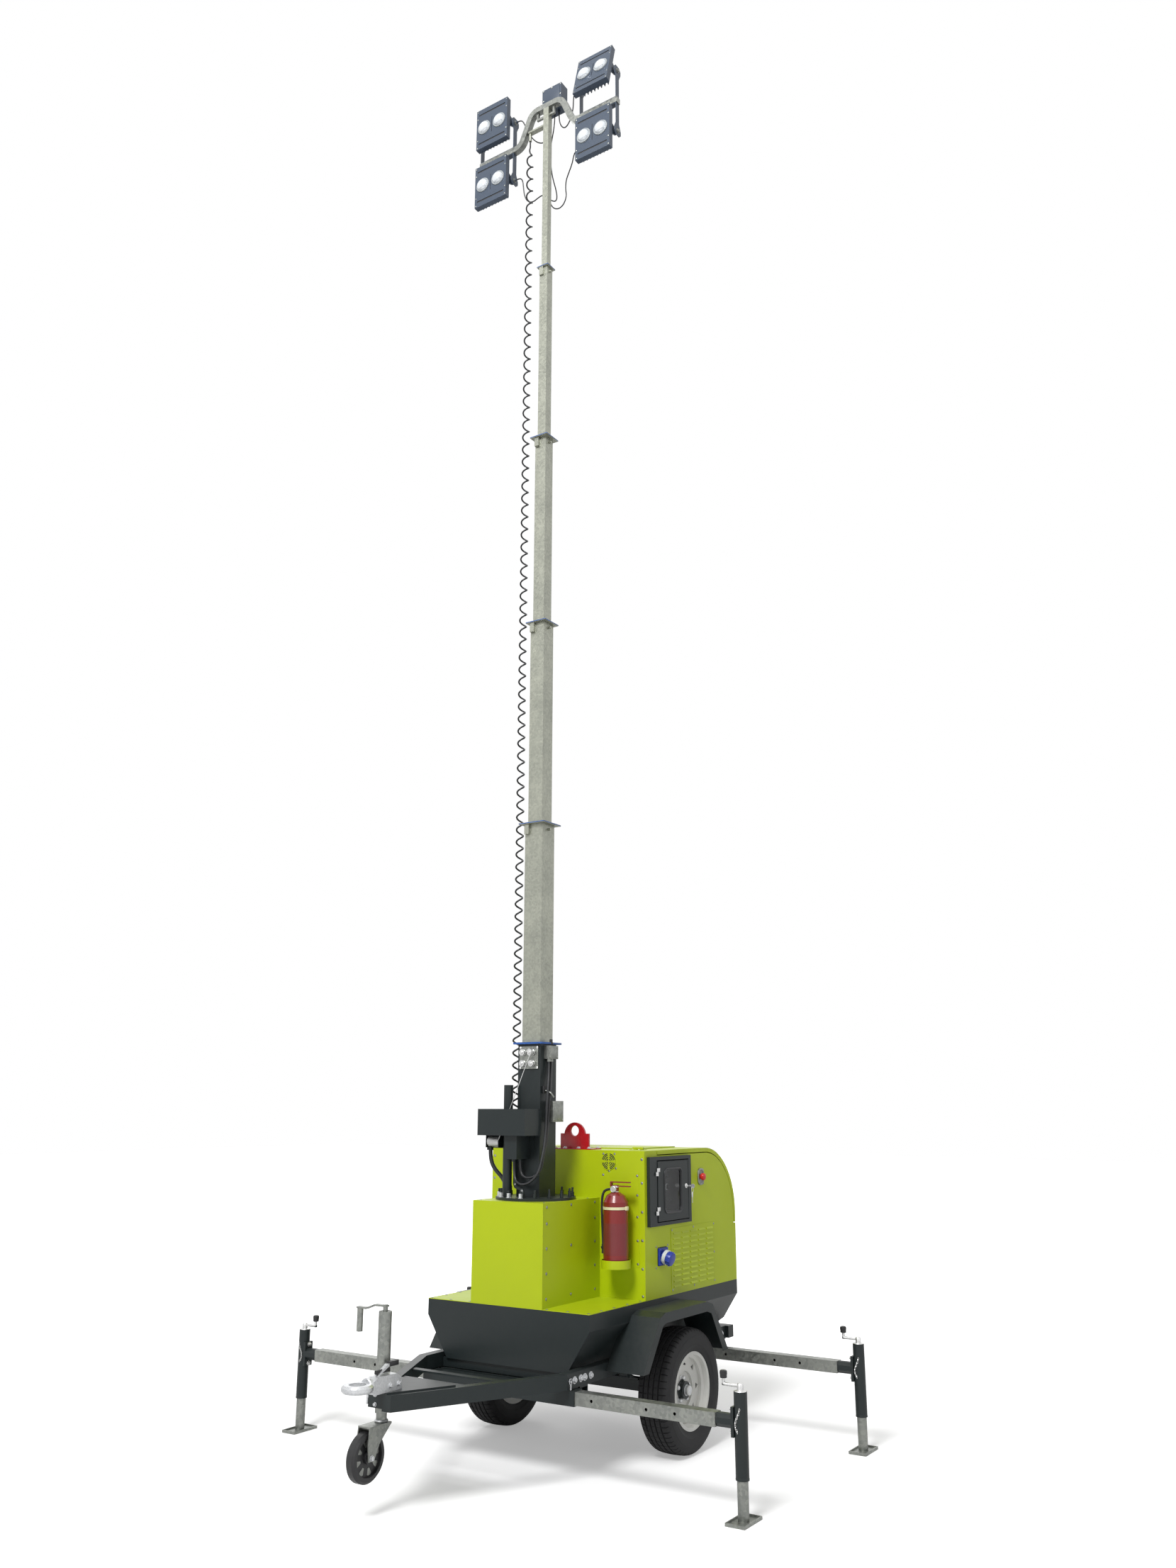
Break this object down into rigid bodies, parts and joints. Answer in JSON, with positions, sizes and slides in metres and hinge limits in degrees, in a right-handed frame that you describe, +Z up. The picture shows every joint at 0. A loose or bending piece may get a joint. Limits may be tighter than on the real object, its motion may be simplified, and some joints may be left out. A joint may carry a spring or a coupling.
{
  "type": "mobile light tower",
  "caption": "Towed light tower on one axle, with a telescopic mast, a cross bar of floodlights, a lifting hood, slide-out outriggers with jacks, a jockey wheel and a ring towing eye.",
  "frame": {"origin": "middle of the tower's footprint, on the ground", "axes": "+X towards the towing eye, +Y to the left side, +Z up"},
  "size_m": [2.751, 2.89, 8.49],
  "materials": {
    "frame_paint": "dark grey satin paint",
    "canopy_paint": "lime green powder coat",
    "galvanised": "galvanised",
    "lamp_paint": "blue grey powder coat",
    "red_paint": "gloss red paint",
    "tyre_rubber": "rubber",
    "wheel_paint": "white paint",
    "clear_glass": "clear",
    "blue_plastic": "moulded",
    "red_plastic": "moulded",
    "cable_rubber": "cable sheath",
    "engine_iron": "cast",
    "black_plastic": "moulded"
  },
  "bodies": {
    "chassis": {"chassis_frame": "frame_paint", "outrigger_sockets": "frame_paint", "axle": "frame_paint", "leaf_springs": "frame_paint", "tub": "frame_paint", "mast_base": "frame_paint", "cable_basket": "frame_paint", "winch": "frame_paint", "fenders": "frame_paint", "control_box": "frame_paint", "canopy": "canopy_paint", "deck": "canopy_paint", "mast_box": "canopy_paint", "louvre_panels": "canopy_paint", "extinguisher_ring": "canopy_paint", "mast_fittings": "galvanised", "jockey_sleeve": "galvanised", "coupling": "galvanised", "lifting_eye": "red_paint", "extinguisher": "red_paint", "power_socket": "blue_plastic", "stop_button": "red_plastic", "spiral_cable": "cable_rubber", "mast_cables": "cable_rubber", "engine_block": "engine_iron"},
    "wheel_left": {"wheel_left": "wheel_paint", "tyre_left": "tyre_rubber"},
    "wheel_right": {"wheel_right": "wheel_paint", "tyre_right": "tyre_rubber"},
    "jockey_stem": {"jockey_stem": "galvanised"},
    "jockey_fork": {"jockey_fork": "galvanised"},
    "jockey_wheel": {"jockey_wheel": "black_plastic"},
    "hood": {"hood": "canopy_paint"},
    "control_door": {"control_door": "frame_paint", "door_glass": "clear_glass"},
    "arm_front_left": {"outrigger_arm_front_left": "galvanised"},
    "jack_front_left": {"jack_front_left": "frame_paint"},
    "foot_front_left": {"foot_front_left": "galvanised"},
    "arm_front_right": {"outrigger_arm_front_right": "galvanised"},
    "jack_front_right": {"jack_front_right": "frame_paint"},
    "foot_front_right": {"foot_front_right": "galvanised"},
    "arm_rear_left": {"outrigger_arm_rear_left": "galvanised"},
    "jack_rear_left": {"jack_rear_left": "frame_paint"},
    "foot_rear_left": {"foot_rear_left": "galvanised"},
    "arm_rear_right": {"outrigger_arm_rear_right": "galvanised"},
    "jack_rear_right": {"jack_rear_right": "frame_paint"},
    "foot_rear_right": {"foot_rear_right": "galvanised"},
    "mast_1": {"mast_section_1": "galvanised"},
    "mast_2": {"mast_section_2": "galvanised"},
    "mast_3": {"mast_section_3": "galvanised"},
    "mast_4": {"mast_section_4": "galvanised"},
    "mast_5": {"mast_section_5": "galvanised", "light_bar": "galvanised", "head_box": "lamp_paint", "lamp_yokes": "lamp_paint", "lamp_leads": "cable_rubber"},
    "lamp_upper_left": {"lamp_upper_left": "lamp_paint"},
    "lamp_upper_right": {"lamp_upper_right": "lamp_paint"},
    "lamp_lower_left": {"lamp_lower_left": "lamp_paint"},
    "lamp_lower_right": {"lamp_lower_right": "lamp_paint"}
  },
  "joints": [
    {"name": "wheel_left_spin", "type": "hinge", "parent": "chassis", "child": "wheel_left", "pos_m": [-0.5495, 0.613, 0.3075], "axis": [0, 1, 0], "continuous": true},
    {"name": "wheel_right_spin", "type": "hinge", "parent": "chassis", "child": "wheel_right", "pos_m": [-0.5495, -0.528, 0.3075], "axis": [0, 1, 0], "continuous": true},
    {"name": "jockey_lift", "type": "slide", "parent": "chassis", "child": "jockey_stem", "axis": [0, 0, 1], "range_m": [-0.144, 0.02]},
    {"name": "jockey_swivel", "type": "hinge", "parent": "jockey_stem", "child": "jockey_fork", "pos_m": [1.0725, -0.0195, 0.38], "axis": [0, 0, 1], "continuous": true},
    {"name": "jockey_spin", "type": "hinge", "parent": "jockey_fork", "child": "jockey_wheel", "pos_m": [1.1675, -0.0195, 0.25], "axis": [0, 1, 0], "continuous": true},
    {"name": "hood_hinge", "type": "hinge", "parent": "chassis", "child": "hood", "pos_m": [-0.447, 0.0425, 1.5265], "axis": [0, 1, 0], "range_deg": [0, 60]},
    {"name": "control_door_hinge", "type": "hinge", "parent": "chassis", "child": "control_door", "pos_m": [-0.4085, 0.5775, 1.306], "axis": [0, 0, -1], "range_deg": [0, 110]},
    {"name": "arm_front_left_slide", "type": "slide", "parent": "chassis", "child": "arm_front_left", "axis": [0, 1, 0], "range_m": [-0.6, 0]},
    {"name": "jack_front_left_swing", "type": "hinge", "parent": "arm_front_left", "child": "jack_front_left", "pos_m": [0.2855, 1.3075, 0.4], "axis": [0, -1, 0], "range_deg": [0, 90]},
    {"name": "foot_front_left_slide", "type": "slide", "parent": "jack_front_left", "child": "foot_front_left", "axis": [0, 0, 1], "range_m": [-0.12, 0.14]},
    {"name": "arm_front_right_slide", "type": "slide", "parent": "chassis", "child": "arm_front_right", "axis": [0, -1, 0], "range_m": [-0.6, 0]},
    {"name": "jack_front_right_swing", "type": "hinge", "parent": "arm_front_right", "child": "jack_front_right", "pos_m": [0.1955, -1.3175, 0.4], "axis": [0, -1, 0], "range_deg": [0, 90]},
    {"name": "foot_front_right_slide", "type": "slide", "parent": "jack_front_right", "child": "foot_front_right", "axis": [0, 0, 1], "range_m": [-0.12, 0.14]},
    {"name": "arm_rear_left_slide", "type": "slide", "parent": "chassis", "child": "arm_rear_left", "axis": [0, 1, 0], "range_m": [-0.6, 0]},
    {"name": "jack_rear_left_swing", "type": "hinge", "parent": "arm_rear_left", "child": "jack_rear_left", "pos_m": [-1.1095, 1.3175, 0.4], "axis": [0, 1, 0], "range_deg": [0, 90]},
    {"name": "foot_rear_left_slide", "type": "slide", "parent": "jack_rear_left", "child": "foot_rear_left", "axis": [0, 0, 1], "range_m": [-0.12, 0.14]},
    {"name": "arm_rear_right_slide", "type": "slide", "parent": "chassis", "child": "arm_rear_right", "axis": [0, -1, 0], "range_m": [-0.6, 0]},
    {"name": "jack_rear_right_swing", "type": "hinge", "parent": "arm_rear_right", "child": "jack_rear_right", "pos_m": [-1.1995, -1.3175, 0.4], "axis": [0, 1, 0], "range_deg": [0, 90]},
    {"name": "foot_rear_right_slide", "type": "slide", "parent": "jack_rear_right", "child": "foot_rear_right", "axis": [0, 0, 1], "range_m": [-0.12, 0.14]},
    {"name": "mast_1_slide", "type": "slide", "parent": "chassis", "child": "mast_1", "axis": [0, 0, 1], "range_m": [-1.1, 0], "deforming": ["spiral_cable"]},
    {"name": "mast_2_slide", "type": "slide", "parent": "mast_1", "child": "mast_2", "axis": [0, 0, 1], "range_m": [-1.1, 0]},
    {"name": "mast_3_slide", "type": "slide", "parent": "mast_2", "child": "mast_3", "axis": [0, 0, 1], "range_m": [-1.1, 0]},
    {"name": "mast_4_slide", "type": "slide", "parent": "mast_3", "child": "mast_4", "axis": [0, 0, 1], "range_m": [-1.1, 0]},
    {"name": "mast_5_slide", "type": "slide", "parent": "mast_4", "child": "mast_5", "axis": [0, 0, 1], "range_m": [-1.1, 0]},
    {"name": "lamp_upper_left_tilt", "type": "hinge", "parent": "mast_5", "child": "lamp_upper_left", "pos_m": [-0.024, 0.4545, 8.315], "axis": [0, -1, 0], "range_deg": [-73, 47]},
    {"name": "lamp_upper_right_tilt", "type": "hinge", "parent": "mast_5", "child": "lamp_upper_right", "pos_m": [-0.024, -0.3695, 8.315], "axis": [0, -1, 0], "range_deg": [-60, 60]},
    {"name": "lamp_lower_left_tilt", "type": "hinge", "parent": "mast_5", "child": "lamp_lower_left", "pos_m": [-0.024, 0.4545, 7.845], "axis": [0, -1, 0], "range_deg": [-60, 60]},
    {"name": "lamp_lower_right_tilt", "type": "hinge", "parent": "mast_5", "child": "lamp_lower_right", "pos_m": [-0.024, -0.3695, 7.845], "axis": [0, -1, 0], "range_deg": [-60, 60]}
  ],
  "couplings": [
    {"joint": "mast_2_slide", "follows": "mast_1_slide", "ratio": 1},
    {"joint": "mast_3_slide", "follows": "mast_1_slide", "ratio": 1},
    {"joint": "mast_4_slide", "follows": "mast_1_slide", "ratio": 1},
    {"joint": "mast_5_slide", "follows": "mast_1_slide", "ratio": 1}
  ]
}
